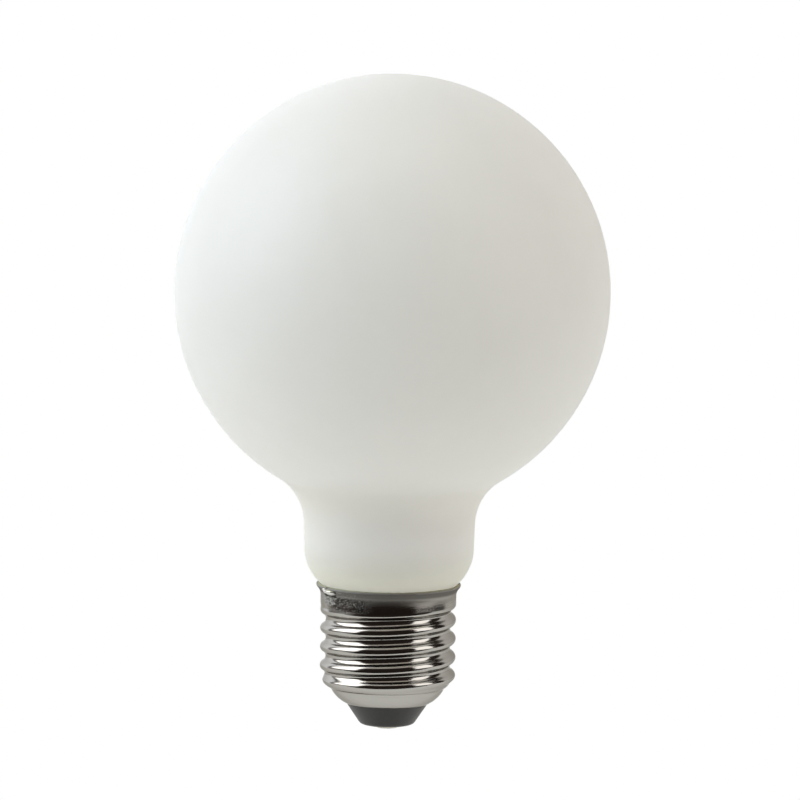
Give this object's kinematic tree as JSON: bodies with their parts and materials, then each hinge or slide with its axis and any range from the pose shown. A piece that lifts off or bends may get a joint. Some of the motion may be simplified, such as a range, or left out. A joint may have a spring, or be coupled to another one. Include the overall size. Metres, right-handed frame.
{
  "type": "globe bulb",
  "caption": "Large matt opal globe lamp on an E27 screw cap, with a short neck, a rolled thread, a black insulator and a soldered side contact.",
  "frame": {"origin": "on the lamp's axis, at the lowest face of the centre contact's solder", "axes": "+Z along the lamp's axis, from the centre contact up to the crown of the globe; the side solder is 31 degrees round from -X towards -Y"},
  "size_m": [0.0836, 0.0836, 0.1262],
  "materials": {
    "opal_glass": "matt opal white, opaque",
    "cement": "matt, yellowish grey",
    "nickel_plate": "bright nickel plate on brass sheet",
    "lead_wire": "plain drawn wire",
    "solder": "tin solder, bright on the bead and dull beside it",
    "insulator_black": "satin black, moulded",
    "contact_metal": "stamped, plain"
  },
  "bodies": {
    "root": {"glass_globe": "opal_glass", "basing_cement": "cement", "screw_shell": "nickel_plate", "side_lead": "lead_wire", "side_solder": "solder", "insulator": "insulator_black", "centre_contact": "contact_metal", "centre_lead": "lead_wire", "centre_solder": "solder"}
  },
  "joints": []
}
